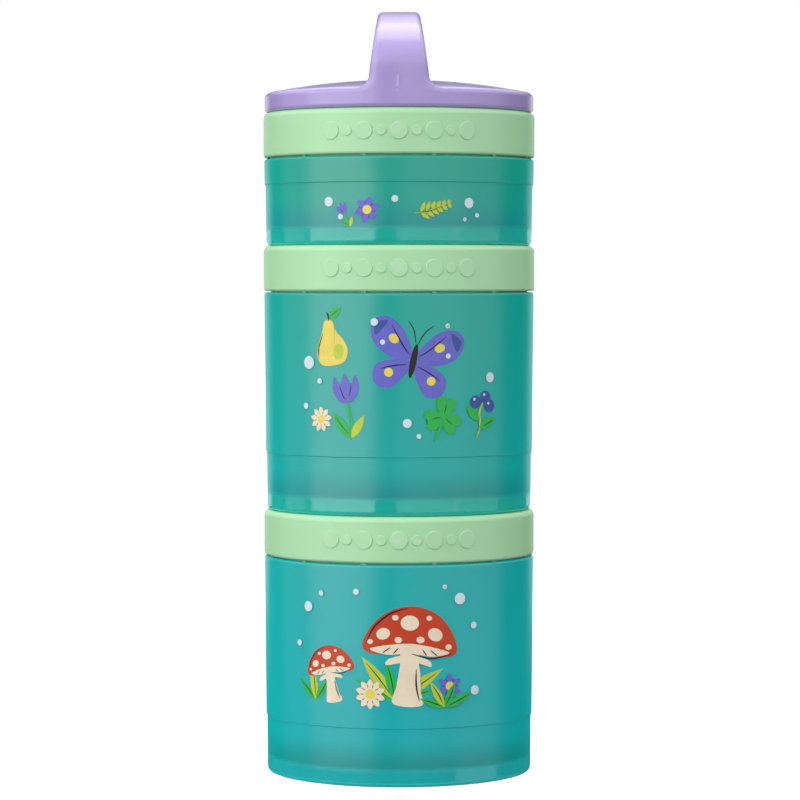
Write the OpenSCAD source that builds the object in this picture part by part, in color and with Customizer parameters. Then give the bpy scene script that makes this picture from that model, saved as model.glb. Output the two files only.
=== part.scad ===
// Stacking snack container for a toddler: two tall cups, one short cup and a lid with a carrying loop.
// A collar ring is snapped into the mouth of each cup. The collar's neck reaches up into the foot of
// the piece above, where three helical lugs on the neck hold down three lugs inside the foot.
// Millimetres. The stack stands on z = 0, its axis is Z and its printed front faces -Y.
// Angles round the stack are counted from the front towards +X.

/* [Stack] */
// Outer diameter of the collars, the widest round of the stack
collar_d = 82; // [76:0.5:96]
// Height of the lower and the middle cup, from foot to lip
large_cup_h = 65.55; // [45:0.05:110]
// Height of the upper cup, from foot to lip
small_cup_h = 26.1; // [24:0.05:60]
// Angle by which the lower cup is turned under its collar
lower_turn = -6; // [-60:1:60]

/* [Cup] */
// Set-in of a cup's lip from the collar, on the radius
lip_inset = 0.2; // [0.1:0.05:0.6]
// Set-in of a large cup's foot from the collar, on the radius
large_foot_inset = 1.03; // [0.8:0.01:1.4]
// Set-in of the small cup's foot from the collar, on the radius
small_foot_inset = 0.85; // [0.7:0.01:1.4]
// Height of the outside step on a large cup
large_step_z = 17.2; // [8:0.1:30]
// Height of the outside step on the small cup
small_step_z = 18.2; // [8:0.1:20]
// Depth of the outside step
step_in = 0.28; // [0.15:0.01:0.4]
// Wall of a cup at its mouth
mouth_wall = 2; // [1.7:0.05:2.6]
// Wall of a cup above its floor
cup_wall = 1.8; // [1.4:0.05:2.2]
// Thickness of a cup's floor
floor_t = 2; // [1.6:0.1:4]
// Radius between a cup's floor and its wall, inside
floor_fillet = 3; // [1:0.25:8]
// Radius on the outside of a cup's lip
lip_round = 0.9; // [0.4:0.05:1]
// Radius on the outside of a cup's foot
foot_round = 1.4; // [0.5:0.05:1.45]

/* [Foot and lugs] */
// Depth of the hollow under a cup's floor and under the lid
skirt_depth = 4.3; // [4.1:0.05:6]
// Wall of the foot around that hollow, on a large cup
skirt_wall = 1.87; // [1.8:0.01:2.4]
// Lift for one whole turn of the thread that the lugs follow
lug_lead = 12; // [10:0.5:13]
// Arc of each lug inside the foot
skirt_lug_arc = 51; // [44:1:56]
// Start of the front lug inside the foot
skirt_lug_start = -23; // [-40:1:0]
// Height of each lug inside the foot
skirt_lug_t = 1; // [0.8:0.05:1.1]
// Height of each lug on the neck
neck_lug_t = 1; // [0.8:0.05:1.1]
// Reach of each lug on the neck
neck_lug_reach = 1.5; // [1.2:0.05:1.8]
// Height of the lowest lug edge above the foot's rim
lug_rise = 0.2; // [0.1:0.05:0.4]
// Width of the detent boss on the inside of the foot
boss_w = 5.8; // [3:0.1:7]
// Thickness of the detent boss and the end mark
boss_t = 0.25; // [0.1:0.05:0.25]

/* [Collar] */
// Height of a collar's grip
collar_h = 13.6; // [11:0.1:20]
// Thickness of a collar's top
flange_t = 2; // [1.8:0.1:3]
// Wall of a collar's grip
grip_wall = 1.4; // [1.2:0.05:1.6]
// Radius on a collar's upper edge
collar_top_round = 1.8; // [0.5:0.1:1.8]
// Radius on a collar's lower edge
collar_foot_round = 0.8; // [0.3:0.05:0.9]
// Wall of the spigot that goes into the cup's mouth
spigot_wall = 1.5; // [1.2:0.05:2]
// Reach of the spigot into the cup's mouth
spigot_h = 6; // [5:0.1:9]
// Height of the snap bead on the spigot
bead_t = 0.3; // [0.15:0.05:0.4]
// Wall of the neck
neck_wall = 1.6; // [1.2:0.05:2]
// Number of ribs between the grip and the spigot
rib_count = 12; // [6:1:18]
// Thickness of each rib
rib_t = 1.2; // [0.8:0.1:2]
// Number of raised dots in each row on the grip
dot_count = 9; // [3:2:13]
// Diameter of the larger dots
large_dot_d = 5.2; // [3:0.1:6]
// Diameter of the smaller dots
small_dot_d = 3; // [1.5:0.1:4]
// Distance from dot to dot
dot_pitch = 5.2; // [4.8:0.1:7]
// Height of the dots above the grip
dot_t = 0.3; // [0.1:0.05:0.5]

/* [Seal ring] */
// Thickness of a seal ring
seal_t = 0.95; // [0.8:0.05:1.2]
// Width of a seal ring
seal_w = 2; // [1.7:0.05:2.2]

/* [Lid] */
// Set-in of the lid's rim from the collar, on the radius
lid_inset = 0.33; // [0.2:0.01:0.8]
// Height of the lid's crown above its rim's foot
lid_crown = 9.85; // [9.4:0.05:14]
// Radius of the lid's dome
dome_r = 200; // [180:5:400]
// Thickness of the dome
dome_wall = 1.9; // [1.6:0.1:2.1]
// Radius between the rim and the dome
rim_round = 1.8; // [0.5:0.1:2]
// Radius on the lower edge of the rim
rim_foot_round = 1.2; // [0.4:0.05:1.3]

/* [Carrying loop] */
// Height of the loop's top above the foot of the lid's rim
loop_h = 30.3; // [26:0.1:50]
// Height above the foot of the rim at which the loop starts to bend
loop_spring = 11.8; // [10:0.1:14]
// Thickness of the loop's band
loop_t = 3.7; // [2.5:0.1:5]
// Width of the band at its legs
loop_leg_w = 17.5; // [14:0.1:24]
// Width of the band at its top
loop_top_w = 13; // [9:0.1:14]
// Radius on the upper edges of the band
loop_round = 2; // [0.8:0.1:2.2]
// Radius of the flare where a leg meets the rim
loop_flare = 3.4; // [1:0.1:5]

/* [Clearances] */
// Gap between a cup's lip and the collar's grip
lip_gap = 0.4; // [0.2:0.05:0.8]
// Gap between a spigot and the cup's mouth
spigot_fit = 0.15; // [0.1:0.05:0.2]
// Gap between the lugs on a neck and the foot around them
lug_fit = 0.4; // [0.4:0.05:0.5]
// Gap between the lugs in a foot and the neck inside them
neck_fit = 0.3; // [0.2:0.05:0.4]
// Gap between engaged lugs, and between them and their stops
lug_play = 0.15; // [0.1:0.01:0.2]
// Gap between a neck's rim and the floor above it
neck_gap = 0.4; // [0.3:0.05:0.5]
// Gap between a seal ring and its groove, on each side
seal_fit = 0.15; // [0.1:0.05:0.2]

/* [Hidden] */
$fn = 96;

cup_colour = [0.30, 0.68, 0.64, 0.8];
collar_colour = [0.72, 0.89, 0.73];
lid_colour = [0.66, 0.59, 0.82];
seal_colour = [0.90, 0.92, 0.92];

// Radii, from the collar inwards
collar_r = collar_d / 2;
grip_r = collar_r - grip_wall;
lip_r = collar_r - lip_inset;
mouth_r = lip_r - mouth_wall;
spigot_r = mouth_r - spigot_fit;
spigot_bore_r = spigot_r - spigot_wall;
large_foot_r = collar_r - large_foot_inset;
small_foot_r = collar_r - small_foot_inset;
skirt_r = large_foot_r - skirt_wall;
boss_r = skirt_r - boss_t;
neck_lug_r = skirt_r - lug_fit;
neck_r = neck_lug_r - neck_lug_reach;
skirt_lug_r = neck_r + neck_fit;
neck_bore_r = neck_r - neck_wall;
seal_mid_r = (neck_r + neck_bore_r) / 2;
seal_bore_r = seal_mid_r - seal_w / 2;
seal_r = seal_mid_r + seal_w / 2;
lid_r = collar_r - lid_inset;

// Heights within a piece
floor_top = skirt_depth + floor_t;
neck_h = skirt_depth - neck_gap;
groove_t = seal_t - neck_gap;
mouth_h = spigot_h + 1;
bead_depth = spigot_h / 2;
bead_w = 1.2;
edge_break = 0.15;
lead_in = 0.4;
embed = 0.5;

// Lugs. The neck's lug lies on top of the foot's lug and ends where its top nears the neck's rim.
lug_count = 3;
neck_lug_lag = 9;
neck_lug_foot = lug_rise + skirt_lug_t + lug_play + thread_rise(neck_lug_lag);
neck_lug_room = neck_h - lug_play - neck_lug_foot - neck_lug_t;
neck_lug_arc = 360 * neck_lug_room / lug_lead;
neck_lug_start = skirt_lug_start + neck_lug_lag;
stop_arc = 3;
stop_h = neck_lug_foot + neck_lug_t;
stop_start = skirt_lug_start - stop_arc - arc_of(lug_play, neck_lug_r);
boss_turn = skirt_lug_start + skirt_lug_arc / 2;
mark_w = 0.6;

// Levels of the feet in the stack
middle_z = large_cup_h + lip_gap + collar_h;
upper_z = middle_z + large_cup_h + lip_gap + collar_h;
lid_z = upper_z + small_cup_h + lip_gap + collar_h;

// Lid
hollow_r = seal_bore_r - seal_fit - 1;
rim_edge = edge_where_rim_meets_dome();
rim_top = rim_edge[1] - rim_round * sin(rim_edge[2]);
loop_sink = 0.05;

function thread_rise(angle) = lug_lead * angle / 360;
function arc_of(length, radius) = length / radius * 180 / PI;
function arc(centre, radius, from, to, steps = 6) =
    [for (i = [0:steps]) let (a = from + (to - from) * i / steps)
        centre + radius * [cos(a), sin(a)]];
function dome_z(r, drop = 0) = lid_crown - dome_r + sqrt(pow(dome_r - drop, 2) - r * r);

// Radius, height and slope angle of the point where the rim's round runs into the dome
function edge_where_rim_meets_dome(tries = 6, r = lid_r) =
    let (slope = acos(r / dome_r), next = lid_r - rim_round * (1 - cos(slope)))
    tries == 0 ? [r, dome_z(r), slope] : edge_where_rim_meets_dome(tries - 1, next);

// Outside radius of a cup at height z
function cup_r(h, foot_r, step_z, z) =
    foot_r + (lip_r - foot_r - step_in) * z / h + (z > step_z ? step_in : 0);

// Underside shared by the cups and the lid: seal groove, hollow and the inner edge of the foot
function underside() = [
    [seal_bore_r - seal_fit, skirt_depth],
    [seal_bore_r - seal_fit, skirt_depth + groove_t],
    [seal_r + seal_fit, skirt_depth + groove_t],
    [seal_r + seal_fit, skirt_depth],
    [skirt_r, skirt_depth],
    [skirt_r, edge_break],
    [skirt_r + edge_break, 0]];

function cup_outline(h, foot_r, step_z) =
    let (bore_r = foot_r - cup_wall, bead_z = h - bead_depth)
    concat(
        [[0, skirt_depth]],
        underside(),
        arc([foot_r - foot_round, foot_round], foot_round, -90, 0),
        [[cup_r(h, foot_r, step_z, step_z), step_z],
            [cup_r(h, foot_r, step_z, step_z + step_in), step_z + step_in]],
        arc([lip_r - lip_round, h - lip_round], lip_round, 0, 90),
        [[mouth_r + edge_break, h],
            [mouth_r, h - edge_break],
            [mouth_r, bead_z + bead_w / 2 + bead_t + spigot_fit],
            [mouth_r + bead_t, bead_z + bead_w / 2 + spigot_fit],
            [mouth_r + bead_t, bead_z - bead_w / 2 - spigot_fit],
            [mouth_r, bead_z - bead_w / 2 - bead_t - spigot_fit],
            [mouth_r, h - mouth_h]],
        arc([bore_r - floor_fillet, floor_top + floor_fillet], floor_fillet, 0, -90),
        [[0, floor_top]]);

// Collar, with z = 0 at the lower edge of its grip
function collar_outline() =
    let (spigot_z = -lip_gap - spigot_h, bead_z = -lip_gap - bead_depth, rim_z = collar_h + neck_h)
    concat(
        [[spigot_bore_r, spigot_z],
            [spigot_r - lead_in, spigot_z],
            [spigot_r, spigot_z + lead_in],
            [spigot_r, bead_z - bead_w / 2 - bead_t],
            [spigot_r + bead_t, bead_z - bead_w / 2],
            [spigot_r + bead_t, bead_z + bead_w / 2],
            [spigot_r, bead_z + bead_w / 2 + bead_t],
            [spigot_r, collar_h - flange_t],
            [grip_r, collar_h - flange_t],
            [grip_r, edge_break],
            [grip_r + edge_break, 0]],
        arc([collar_r - collar_foot_round, collar_foot_round], collar_foot_round, -90, 0),
        arc([collar_r - collar_top_round, collar_h - collar_top_round], collar_top_round, 0, 90),
        [[neck_r, collar_h],
            [neck_r, rim_z - edge_break],
            [neck_r - edge_break, rim_z],
            [neck_bore_r + edge_break, rim_z],
            [neck_bore_r, rim_z - edge_break],
            [neck_bore_r, collar_h - flange_t],
            [spigot_bore_r, collar_h - flange_t]]);

function lid_outline() =
    concat(
        [for (i = [0:8]) let (r = hollow_r * i / 8) [r, dome_z(r, dome_wall)]],
        [[hollow_r, skirt_depth]],
        underside(),
        arc([lid_r - rim_foot_round, rim_foot_round], rim_foot_round, -90, 0),
        arc([lid_r - rim_round, rim_top], rim_round, 0, rim_edge[2]),
        [for (i = [8:-1:0]) let (r = rim_edge[0] * i / 9) [r, dome_z(r)]]);

// Side of the loop: an elliptical arch on two straight legs, as points of [y, z]. The legs reach down
// to the rim's straight side, and stay above the hollow farther in.
function loop_side() =
    let (foot_z = rim_top - loop_sink, step_y = skirt_r + embed, step_z = skirt_depth + groove_t,
        leg_y = lid_r - loop_t, bend = loop_h - loop_spring, steps = 40)
    concat(
        [[-step_y, foot_z], [-lid_r, foot_z]],
        [for (i = [0:steps]) let (a = 180 - 180 * i / steps)
            [lid_r * cos(a), loop_spring + bend * sin(a)]],
        [[lid_r, foot_z], [step_y, foot_z], [step_y, step_z], [leg_y, step_z]],
        [for (i = [0:steps]) let (a = 180 * i / steps)
            [leg_y * cos(a), loop_spring + (bend - loop_t) * sin(a)]],
        [[-leg_y, step_z], [-step_y, step_z]]);

// Right half of the loop's front, from its flared foot up to its round upper edge, as [x, z]
function loop_front_half() =
    let (foot_z = rim_top - loop_sink, flare_z = rim_edge[1] + loop_flare)
    concat(
        [[loop_leg_w / 2 + loop_flare, foot_z]],
        arc([loop_leg_w / 2 + loop_flare, flare_z], loop_flare, 270, 180),
        arc([loop_top_w / 2 - loop_round, loop_h - loop_round], loop_round, 0, 90));

// A bar that follows the thread on radii r0 to r1, from its low end at angle start
module thread_bar(r0, r1, start, sweep, z, height, lead = lug_lead) {
    steps = ceil(sweep / 4);
    corners = [[r0, 0], [r1, 0], [r1, height], [r0, height]];
    points = [for (i = [0:steps]) for (c = corners)
        let (turn = sweep * i / steps, a = start + turn - 90)
        [c[0] * cos(a), c[0] * sin(a), z + c[1] + lead * turn / 360]];
    sides = [for (i = [0:steps - 1]) for (k = [0:3])
        [4 * i + k, 4 * i + (k + 1) % 4, 4 * i + 4 + (k + 1) % 4, 4 * i + 4 + k]];
    ends = [[3, 2, 1, 0], [4 * steps, 4 * steps + 1, 4 * steps + 2, 4 * steps + 3]];
    polyhedron(points, concat(sides, ends), convexity = 4);
}

module ring(r_out, r_in, h) {
    difference() {
        cylinder(r = r_out, h = h);
        translate([0, 0, -1]) cylinder(r = r_in, h = h + 2);
    }
}

// A round peg that points outwards at an angle, from radius r0 to r1
module peg(d, turn, z, r0, r1) {
    rotate([0, 0, turn]) translate([0, -r0, z]) rotate([90, 0, 0]) cylinder(d = d, h = r1 - r0);
}

module round_the_lugs() {
    for (i = [0:lug_count - 1]) rotate([0, 0, i * 360 / lug_count]) children();
}

// Lugs inside a foot, each with a flat detent boss and an end mark
module skirt_lugs() {
    mark_h = lug_rise + skirt_lug_t + thread_rise(skirt_lug_arc);
    round_the_lugs() {
        thread_bar(skirt_lug_r, skirt_r + embed, skirt_lug_start, skirt_lug_arc, lug_rise, skirt_lug_t);
        intersection() {
            translate([0, 0, lug_rise]) ring(skirt_r + 1.5 * embed, boss_r, skirt_depth - lug_rise);
            union() {
                peg(boss_w, boss_turn, 0, boss_r - embed, lid_r);
                rotate([0, 0, skirt_lug_start + skirt_lug_arc]) translate([-mark_w / 2, -lid_r, 0])
                    cube([mark_w, lid_r - boss_r + embed, mark_h]);
            }
        }
    }
}

// Lugs on a neck, each with the stop that ends the closing turn
module neck_lugs() {
    round_the_lugs() {
        thread_bar(neck_r - embed, neck_lug_r, neck_lug_start, neck_lug_arc, neck_lug_foot, neck_lug_t);
        thread_bar(neck_r - embed, neck_lug_r, stop_start, stop_arc, -embed, stop_h + embed, 0);
    }
}

module cup(h, foot_r, step_z) {
    color(cup_colour) {
        rotate_extrude() polygon(cup_outline(h, foot_r, step_z));
        skirt_lugs();
    }
}

module dot_rows() {
    intersection() {
        ring(collar_r + dot_t, collar_r - embed, collar_h);
        for (side = [0, 180]) for (i = [0:dot_count - 1])
            peg(i % 2 == 0 ? large_dot_d : small_dot_d,
                side + (i - (dot_count - 1) / 2) * arc_of(dot_pitch, collar_r),
                collar_h / 2, grip_r, collar_r + embed);
    }
}

module collar() {
    color(collar_colour) {
        rotate_extrude() polygon(collar_outline());
        for (i = [0:rib_count - 1]) rotate([0, 0, (i + 0.5) * 360 / rib_count])
            translate([spigot_r - edge_break, -rib_t / 2, -lip_gap])
                cube([grip_r - spigot_r + 2 * edge_break, rib_t, lip_gap + collar_h - flange_t / 2]);
        translate([0, 0, collar_h]) neck_lugs();
        dot_rows();
    }
}

module seal() {
    color(seal_colour) translate([0, 0, neck_h]) ring(seal_r, seal_bore_r, seal_t);
}

module loop() {
    right = loop_front_half();
    left = [for (i = [len(right) - 1:-1:0]) [-right[i][0], right[i][1]]];
    intersection() {
        rotate([90, 0, 90]) linear_extrude(collar_d, center = true) polygon(loop_side());
        rotate([90, 0, 0]) linear_extrude(collar_d, center = true) polygon(concat(right, left));
        cylinder(r = lid_r, h = loop_h + 1);
    }
}

module lower_cup() rotate([0, 0, lower_turn]) cup(large_cup_h, large_foot_r, large_step_z);
module lower_seal() seal();
module lower_collar() translate([0, 0, large_cup_h + lip_gap]) collar();
module middle_cup() translate([0, 0, middle_z]) cup(large_cup_h, large_foot_r, large_step_z);
module middle_seal() translate([0, 0, middle_z]) seal();
module middle_collar() translate([0, 0, middle_z + large_cup_h + lip_gap]) collar();
module upper_cup() translate([0, 0, upper_z]) cup(small_cup_h, small_foot_r, small_step_z);
module upper_seal() translate([0, 0, upper_z]) seal();
module upper_collar() translate([0, 0, upper_z + small_cup_h + lip_gap]) collar();
module lid_seal() translate([0, 0, lid_z]) seal();

module lid() {
    color(lid_colour) translate([0, 0, lid_z]) {
        rotate_extrude() polygon(lid_outline());
        skirt_lugs();
        loop();
    }
}

lower_cup();
lower_seal();
lower_collar();
middle_cup();
middle_seal();
middle_collar();
upper_cup();
upper_seal();
upper_collar();
lid();
lid_seal();
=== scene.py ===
"""Dresses a stacking snack container: frosted cups, mint collars, a lavender lid and garden prints.

Lengths are metres unless a name says otherwise. The printed front faces -Y and Z is up. Angles round the
stack are counted in degrees from the front towards +X, and heights in a piece from its own foot.
"""

import math
from functools import partial

import bmesh
import bpy
from bpy.props import FloatProperty, FloatVectorProperty, IntProperty, PointerProperty
from bpy.types import Operator, Panel, PropertyGroup
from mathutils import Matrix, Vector


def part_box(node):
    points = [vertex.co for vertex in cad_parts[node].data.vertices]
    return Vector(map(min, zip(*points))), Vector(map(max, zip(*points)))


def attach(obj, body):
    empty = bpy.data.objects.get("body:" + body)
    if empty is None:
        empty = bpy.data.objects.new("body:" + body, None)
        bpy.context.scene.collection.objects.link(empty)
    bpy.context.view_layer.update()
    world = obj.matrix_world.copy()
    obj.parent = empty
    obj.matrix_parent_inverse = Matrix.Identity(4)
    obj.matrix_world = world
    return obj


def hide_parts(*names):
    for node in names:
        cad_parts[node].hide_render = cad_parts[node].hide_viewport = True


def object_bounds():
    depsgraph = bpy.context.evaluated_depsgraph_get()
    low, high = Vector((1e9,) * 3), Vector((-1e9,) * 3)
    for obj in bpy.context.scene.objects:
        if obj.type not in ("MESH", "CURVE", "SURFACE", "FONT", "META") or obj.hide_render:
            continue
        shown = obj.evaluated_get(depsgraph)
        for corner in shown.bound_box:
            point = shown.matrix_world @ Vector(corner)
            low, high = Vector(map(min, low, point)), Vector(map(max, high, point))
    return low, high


bl_info = {
    "name": "Snack Stack",
    "version": (1, 0, 0),
    "blender": (4, 5, 0),
    "location": "View3D > Sidebar > Snack Stack",
    "description": "Makes the cups, collars, lid and prints of a stacking snack container",
    "category": "Object",
}

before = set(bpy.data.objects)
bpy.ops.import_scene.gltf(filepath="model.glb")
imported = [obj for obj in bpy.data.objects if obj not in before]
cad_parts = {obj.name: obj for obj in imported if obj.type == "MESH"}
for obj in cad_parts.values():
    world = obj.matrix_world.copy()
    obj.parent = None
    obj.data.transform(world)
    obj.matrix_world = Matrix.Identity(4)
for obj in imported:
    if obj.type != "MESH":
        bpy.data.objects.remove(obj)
CAD_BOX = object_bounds()

MM = 0.001
FULL_TURN = 360.0
HEIGHT = "height"
CUPS = {"lower": "lower_cup", "middle": "middle_cup", "upper": "upper_cup"}
STAGES = {"lower": "lower_stage", "middle": "middle_stage", "upper": "upper_stage"}
THIRDS = (0.0, 120.0, 240.0)
BEAD_HALF = 0.6 * MM
BEAD_DROP = 3.0 * MM
BEAD_ROOM = 0.3 * MM
EMBED = 0.5 * MM
BOSS_EMBED = 0.4 * MM
HAIR = 0.05 * MM
LAYER_STEP = 0.12
RING = 0.35
PLASTIC_IOR = 1.49
WHITE = (0.92, 0.92, 0.92)


def length(name, description, size):
    """A size property, given in millimetres and kept in metres."""
    return FloatProperty(name=name, description=description, default=size * MM, unit="LENGTH", precision=5)


def number(name, description, default, unit="NONE"):
    """A property for an angle in degrees, a brightness or another plain number."""
    return FloatProperty(name=name, description=description, default=default, unit=unit)


def colour(name, description, red, green, blue):
    """A colour property, given as the eye sees it, from 0 to 255."""
    return FloatVectorProperty(
        name=name, description=description, subtype="COLOR", size=3, min=0.0, max=1.0,
        default=tuple(linear(part / 255) for part in (red, green, blue)),
    )


def linear(part):
    """One part of a screen colour as an amount of light."""
    return part / 12.92 if part <= 0.04045 else ((part + 0.055) / 1.055) ** 2.4


class CupSizes(PropertyGroup):
    """Sizes of a frosted cup."""

    lip_r: length("Lip radius", "Outside radius at the lip", 40.8)
    large_foot_r: length("Large foot radius", "Outside radius of a large cup's foot", 39.97)
    small_foot_r: length("Small foot radius", "Outside radius of the small cup's foot", 40.15)
    large_step: length("Large step height", "Height of a large cup's outside step", 17.2)
    small_step: length("Small step height", "Height of the small cup's outside step", 18.2)
    step_in: length("Step depth", "Depth of the outside step", 0.28)
    mouth_r: length("Mouth radius", "Inside radius at the mouth", 38.8)
    mouth_h: length("Mouth depth", "Depth of the straight stretch at the mouth", 7.0)
    wall: length("Wall", "Wall above the floor", 1.8)
    floor_top: length("Floor", "Height of the floor's upper face", 6.3)
    floor_fillet: length("Floor fillet", "Radius between the floor and the wall", 3.0)
    lip_round: length("Lip rounding", "Radius on the outside of the lip", 0.9)
    foot_round: length("Foot rounding", "Radius on the outside of the foot", 1.4)
    lower_turn: number("Lower cup's turn", "Degrees that the lower cup is turned under its collar", -6.0)


class FootSizes(PropertyGroup):
    """Sizes of the hollow foot and of its lugs, which all cups and the lid share."""

    skirt_r: length("Hollow radius", "Radius of the hollow under a floor", 38.1)
    depth: length("Hollow depth", "Depth of the hollow under a floor", 4.3)
    groove_in: length("Groove inner radius", "Inner radius of the seal groove", 34.25)
    groove_out: length("Groove outer radius", "Outer radius of the seal groove", 36.55)
    groove_t: length("Groove depth", "Depth of the seal groove", 0.55)
    edge: length("Edge break", "Size of a broken edge", 0.15)
    lug_r: length("Lug reach", "Radius that a lug in the foot reaches in to", 36.5)
    lug_z: length("Lug height", "Height of a lug's low end above the foot", 0.2)
    lug_t: length("Lug thickness", "Thickness of each lug", 1.0)
    lead: length("Thread lead", "Rise of the lugs in a whole turn", 12.0)
    lug_start: number("Lug start", "Where the front lug starts, in degrees", -23)
    lug_arc: number("Lug arc", "Degrees that a lug covers", 51)
    boss_r: length("Boss radius", "Radius of the inner face of the detent boss", 37.85)
    boss_w: length("Boss width", "Width of the round detent boss", 5.8)
    mark_w: length("Mark width", "Width of the mark at a lug's high end", 0.6)


class CollarSizes(PropertyGroup):
    """Sizes of a mint collar."""

    radius: length("Radius", "Outside radius", 41.0)
    grip_h: length("Height", "Height of the grip", 13.6)
    grip_in: length("Grip inner radius", "Inside radius of the grip", 39.6)
    flange_t: length("Top", "Thickness of the top", 2.0)
    top_round: length("Upper rounding", "Radius on the upper edge", 1.8)
    foot_round: length("Lower rounding", "Radius on the lower edge", 0.8)
    lip_gap: length("Gap to the lip", "Gap between the cup's lip and the grip", 0.4)
    spigot_r: length("Spigot radius", "Outside radius of the spigot", 38.65)
    spigot_in: length("Spigot bore", "Inside radius of the spigot", 37.15)
    spigot_h: length("Spigot depth", "Reach of the spigot below the lip", 6.0)
    bead: length("Bead", "Height of the snap bead", 0.3)
    neck_r: length("Neck radius", "Outside radius of the neck", 36.2)
    neck_in: length("Neck bore", "Inside radius of the neck", 34.6)
    neck_h: length("Neck height", "Height of the neck above the top", 3.9)
    lug_r: length("Neck lug reach", "Radius that a lug on the neck reaches out to", 37.7)
    lug_z: length("Neck lug height", "Height of a neck lug's low end above the top", 1.65)
    lug_start: number("Neck lug start", "Where the front lug starts", -14)
    lug_arc: number("Neck lug arc", "Degrees that a neck lug covers", 33)
    stop_start: number("Stop start", "Where the front stop starts", -26.2)
    stop_arc: number("Stop arc", "Degrees that a stop covers", 3)
    stop_h: length("Stop height", "Height of each stop", 2.65)
    ribs: IntProperty(name="Ribs", description="Ribs between the grip and the spigot", default=12)
    rib_t: length("Rib", "Thickness of each rib", 1.2)
    dots: IntProperty(name="Dots", description="Raised dots in each row", default=9)
    large_dot: length("Large dot", "Diameter of the larger dots", 5.2)
    small_dot: length("Small dot", "Diameter of the smaller dots", 3.0)
    dot_pitch: length("Dot pitch", "Distance from dot to dot", 5.2)
    dot_h: length("Dot height", "Height of the dots", 0.3)


class LidSizes(PropertyGroup):
    """Sizes of the lid and of its carrying loop."""

    radius: length("Radius", "Outside radius of the rim", 40.67)
    crown: length("Crown", "Height of the dome's middle above the rim's foot", 9.85)
    dome_r: length("Dome radius", "Radius of the dome", 200.0)
    dome_wall: length("Dome wall", "Thickness of the dome", 1.9)
    hollow_r: length("Hollow radius", "Radius of the hollow under the dome", 33.25)
    rim_round: length("Rim rounding", "Radius between the rim and the dome", 1.8)
    foot_round: length("Foot rounding", "Radius on the rim's lower edge", 1.2)
    loop_h: length("Loop height", "Height of the loop's top above the rim's foot", 30.3)
    spring: length("Spring", "Height at which the loop starts to bend", 11.8)
    band_t: length("Band thickness", "Thickness of the loop's band", 3.7)
    leg_w: length("Leg width", "Width of the band at its legs", 17.5)
    top_w: length("Top width", "Width of the band at its top", 13.0)
    flare: length("Flare", "Radius of the flare where a leg meets the rim", 3.4)
    outer_round: length("Outer edge rounding", "Radius on the band's outer edges", 1.9)
    inner_round: length("Inner edge rounding", "Radius on the band's inner edges", 1.2)
    parting: length("Parting line", "Height of the mould's parting line", 0.08)


class PrintSizes(PropertyGroup):
    """Sizes of the printed pictures."""

    ink: length("Ink thickness", "Thickness of one layer of ink", 0.03)
    slice: length("Slice", "Widest facet of a print round the cup", 1.2)


class Finishes(PropertyGroup):
    """Colours of the plastics, the rubber and the inks."""

    # Painted reflected light: the walls lean bluer low in the stack, where the white floor lights them, and
    # greener high in it, where the mint collars light them.
    teal: colour("Frosted teal", "Colour of the cups' walls low in the stack", 0, 220, 225)
    mint_bounce_teal: colour("Green teal", "Colour of the cups' walls high in the stack", 0, 208, 184)
    # Painted shade: a deeper, darker teal just above a cup's floor, where the thick floor seen through the
    # wall darkens the real cup.
    floor_shade_teal: colour("Deep teal", "Colour of a cup just above its floor", 0, 194, 192)
    # Painted reflected light: the thin feet lean bluer low in the stack, lit by the white floor, and greener
    # high in it, lit by the mint collars.
    clear_teal: colour("Clear teal", "Colour of the lower cup's thin foot", 60, 240, 244)
    mint_bounce_clear_teal: colour("Clear green teal", "Colour of a cup's thin foot high in the stack", 60, 241, 230)
    mint: colour("Mint", "Colour of the collars", 178, 229, 180)
    lavender: colour("Lavender", "Colour of the lid", 175, 157, 217)
    rubber: colour("Seal rubber", "Colour of the seal rings", 226, 232, 230)
    purple: colour("Purple ink", "Colour of the purple ink", 105, 105, 205)
    yellow: colour("Yellow ink", "Colour of the yellow ink", 236, 216, 92)
    green: colour("Green ink", "Colour of the green ink", 40, 185, 80)
    lime: colour("Lime ink", "Colour of the lime ink", 190, 208, 60)
    blue: colour("Blue ink", "Colour of the blue ink", 55, 85, 160)
    red: colour("Red ink", "Colour of the red ink", 200, 62, 24)
    cream: colour("Cream ink", "Colour of the cream ink", 242, 226, 200)
    pale: colour("Pale ink", "Colour of the pale dots", 215, 232, 240)
    black: colour("Black ink", "Colour of the fine strokes", 22, 24, 26)


class StudioSettings(PropertyGroup):
    """The camera, the lamps and the floor."""

    distance: length("Camera distance", "Level distance from the stack's axis to the camera", 1017.1)
    height: length("Camera height", "Height of the camera above the floor", 148.3)
    sideways: length("Camera offset", "Distance of the camera to the right of the axis", 0.3)
    tilt: number("Camera tilt", "Degrees that the camera looks down", 2.023)
    lens: number("Lens", "Focal length in millimetres", 150.8, "CAMERA")
    key: number("Key box", "Brightness of the soft box at the left", 1.95)
    side: number("Side box", "Brightness of the soft box at the far left", 0.5)
    fill: number("Fill box", "Brightness of the soft box at the right", 0.62)
    front: number("Front panel", "Brightness of the panel behind the camera", 0.85)
    back: number("Backdrop", "Brightness of the white panel behind the stack", 0.8)
    top: number("Top box", "Brightness of the soft box overhead", 1.8)
    sky: number("Sky light", "Light of the room from above", 1.05)
    ground: number("Ground light", "Light of the room from below", 0.3)
    dusk: number("Side light", "Light from the sides, between the lamps", 0.03)


# Outlines


def turned(angle, radius, height):
    """The point at an angle from the front, at a radius and a height."""
    a = math.radians(angle)
    return (radius * math.sin(a), -radius * math.cos(a), height)


def rounding(centre_r, centre_z, radius, start, end, steps=10):
    """Points of a round in a section, by angle from straight outwards."""
    turns = [math.radians(start + (end - start) * i / steps) for i in range(steps + 1)]
    return [(centre_r + radius * math.cos(a), centre_z + radius * math.sin(a)) for a in turns]


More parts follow.
